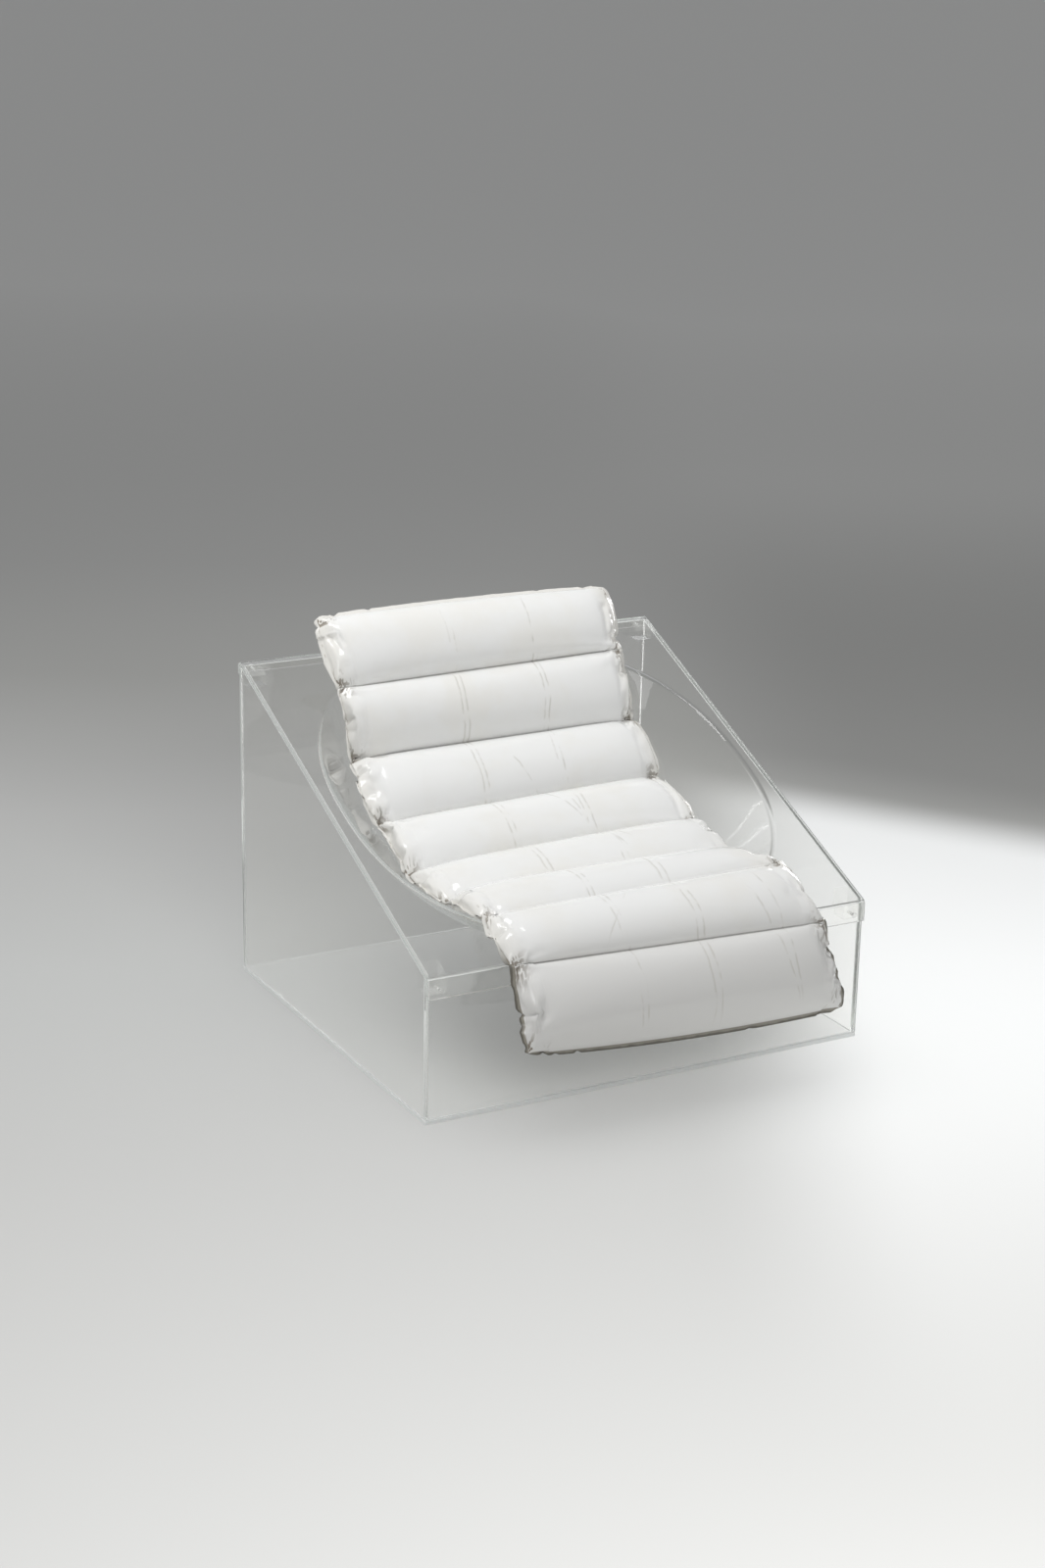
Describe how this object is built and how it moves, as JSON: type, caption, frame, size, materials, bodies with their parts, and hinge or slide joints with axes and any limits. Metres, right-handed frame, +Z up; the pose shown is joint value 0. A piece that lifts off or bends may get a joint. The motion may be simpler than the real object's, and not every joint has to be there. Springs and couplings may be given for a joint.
{
  "type": "lounge chair",
  "caption": "Low lounge chair: a clear acrylic case with a bowl formed in its sloping lid, and a loose channelled white vinyl cushion lying in the bowl.",
  "frame": {"origin": "on the floor, under the middle of the case", "axes": "+Z up, -Y towards the foot of the chair (the way the sitter faces), +X to the right seen from the foot"},
  "size_m": [0.76, 0.8144, 0.6073],
  "materials": {
    "clear_acrylic": "polished clear sheet",
    "natural_nylon": "smooth",
    "white_vinyl": "glossy soft sheet",
    "white_foam": "open-cell foam"
  },
  "bodies": {
    "case": {"base_plate": "clear_acrylic", "left_side_panel": "clear_acrylic", "right_side_panel": "clear_acrylic", "front_panel": "clear_acrylic", "back_panel": "clear_acrylic", "seat_shell": "clear_acrylic", "corner_block_front_left": "clear_acrylic", "corner_block_front_right": "clear_acrylic", "corner_block_back_left": "clear_acrylic", "corner_block_back_right": "clear_acrylic", "lid_screw_front_left": "natural_nylon", "lid_screw_front_right": "natural_nylon", "lid_screw_back_left": "natural_nylon", "lid_screw_back_right": "natural_nylon"},
    "cushion": {"cover_top_seat": "white_vinyl", "cover_under_seat": "white_vinyl", "foam_core_2": "white_foam", "foam_core_3": "white_foam", "foam_core_4": "white_foam", "foam_core_5": "white_foam", "foam_core_6": "white_foam", "foam_core_7": "white_foam"},
    "head": {"cover_top_head": "white_vinyl", "cover_under_head": "white_vinyl", "foam_core_1": "white_foam"},
    "front_flap": {"cover_top_front": "white_vinyl", "cover_under_front": "white_vinyl", "foam_core_8": "white_foam"}
  },
  "joints": [
    {"name": "cushion_lift", "type": "slide", "parent": "case", "child": "cushion", "axis": [0, 0, 1], "range_m": [0, 0.4]},
    {"name": "head_tilt", "type": "hinge", "parent": "cushion", "child": "head", "pos_m": [0, 0.219, 0.509], "axis": [0.9998, 0.013, 0.015], "range_deg": [-24, 30]},
    {"name": "front_flap_fold", "type": "hinge", "parent": "cushion", "child": "front_flap", "pos_m": [0, -0.3953, 0.2379], "axis": [-0.9986, 0.0499, 0.015], "range_deg": [-20, 45]}
  ]
}
